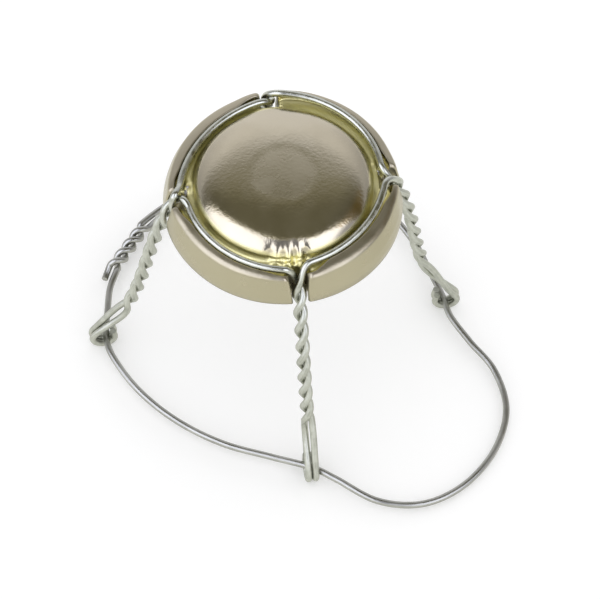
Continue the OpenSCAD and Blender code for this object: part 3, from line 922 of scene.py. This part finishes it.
world = bpy.data.worlds.new("white_tent")
bpy.context.scene.world = world
world.use_nodes = True
world.node_tree.nodes["Background"].inputs["Color"].default_value = (1, 1, 1, 1)
world.node_tree.nodes["Background"].inputs["Strength"].default_value = 1.0


# %% [markdown]
# ## The light tent
#
# Polished metal looks like whatever surrounds it, so most of this picture is made here. The dome shows a grey
# top, a dark olive belly and two white crescents, and these are the reflections of a white back wall, a dark
# ceiling and a bright window in front with the lens in the middle of it. The tent is half a sphere of small
# faces, each with its own colour. A direction is given by two angles: u is the angle to the right of the
# camera, and w is the angle over the top, from the horizon behind the hood at 0 to the one in front at 180.
# Only glossy rays see the tent, so the floor stays white.

# %% Light tent colours
def studio_way(side_angle, over_angle):
    u, w = math.radians(side_angle), math.radians(over_angle)
    back = -Vector((math.sin(azimuth), -math.cos(azimuth), 0))
    return level_right * math.sin(u) + (back * math.cos(w) + Vector((0, 0, 1)) * math.sin(w)) * math.cos(u)


def soft_step(x):
    x = np.clip(x, 0, 1)
    return x * x * (3 - 2 * x)


def tent_light(u, w):
    back = np.interp(w, [0, 45, 50, 53, 57, 61, 66, 90], [1, 1, 0.62, 0.47, 0.37, 0.28, 0.2, 0.2])
    sides = np.interp(u, [-90, -60, -35, -15, 15, 35, 60, 90], [0.5, 0.55, 0.8, 1.05, 1, 0.66, 0.5, 0.5])
    edge = np.interp(u, [-60, -41, -27, -14, 0, 20, 30, 45, 60], [78, 78, 83, 93, 101, 101, 93, 95, 100])
    front = soft_step((w - edge + 4) / 9)
    bright = 2.5 * np.interp(u, [-90, -70, -55, 45, 60, 90], [0.6, 0.8, 1, 1, 0.25, 0.2])
    bright = bright + (1 - bright) * soft_step((w - 150) / 15)
    light = back * sides * (1 - front) + bright * front
    lens = soft_step((15 - abs(u - 2)) / 8) * soft_step((w - 96) / 8) * soft_step((158 - w) / 10)
    light = light + (0.3 - light) * lens
    wall, ceiling, window = np.array([1.08, 1.08, 1.22]), np.array([0.98, 0.93, 0.7]), np.array([0.98, 1, 1.24])
    tint = wall + (ceiling - wall) * soft_step((w - 48) / 14)
    tint = tint + (np.array([1.35, 1, 0.36]) - tint) * soft_step((u - 30) / 18) * soft_step((w - 50) / 12)
    tint = tint + (window - tint) * front
    tint = tint + (1 - tint) * soft_step((w - 145) / 15)
    return [float(c) for c in light * tint] + [1.0]


# %% Light tent
TENT_R = 0.6
tent_us, tent_ws = np.linspace(-88, 88, 89), np.linspace(-2, 182, 93)
tent_points = [tuple(studio_way(u, w) * TENT_R) for w in tent_ws for u in tent_us]
tent_glow = np.array([tent_light(u, w) for w in tent_ws for u in tent_us])
across = len(tent_us)
tent_faces = [(j * across + i, j * across + i + 1, (j + 1) * across + i + 1, (j + 1) * across + i)
              for j in range(len(tent_ws) - 1) for i in range(across - 1)]
tent_mesh = bpy.data.meshes.new("light_tent")
tent_mesh.from_pydata(tent_points, [], tent_faces)
tent_mesh.attributes.new("glow", "FLOAT_COLOR", "POINT").data.foreach_set("color", tent_glow.ravel())
tent = bpy.data.objects.new("light_tent", tent_mesh)
bpy.context.scene.collection.objects.link(tent)
tent_cloth = bpy.data.materials.new("tent_cloth")
tent_cloth.use_nodes = True
cloth_nodes, cloth_link = tent_cloth.node_tree.nodes, tent_cloth.node_tree.links.new
cloth_nodes.remove(cloth_nodes["Principled BSDF"])
cloth_glow, glow_value = cloth_nodes.new("ShaderNodeEmission"), cloth_nodes.new("ShaderNodeAttribute")
glow_value.attribute_name = "glow"
cloth_link(glow_value.outputs["Color"], cloth_glow.inputs["Color"])
cloth_link(cloth_glow.outputs["Emission"], cloth_nodes["Material Output"].inputs["Surface"])
tent_mesh.materials.append(tent_cloth)
tent.visible_camera = False
tent.visible_shadow = False
tent.visible_diffuse = False

bpy.context.scene.view_settings.view_transform = "Standard"
print("tent of", len(tent_faces), "faces")
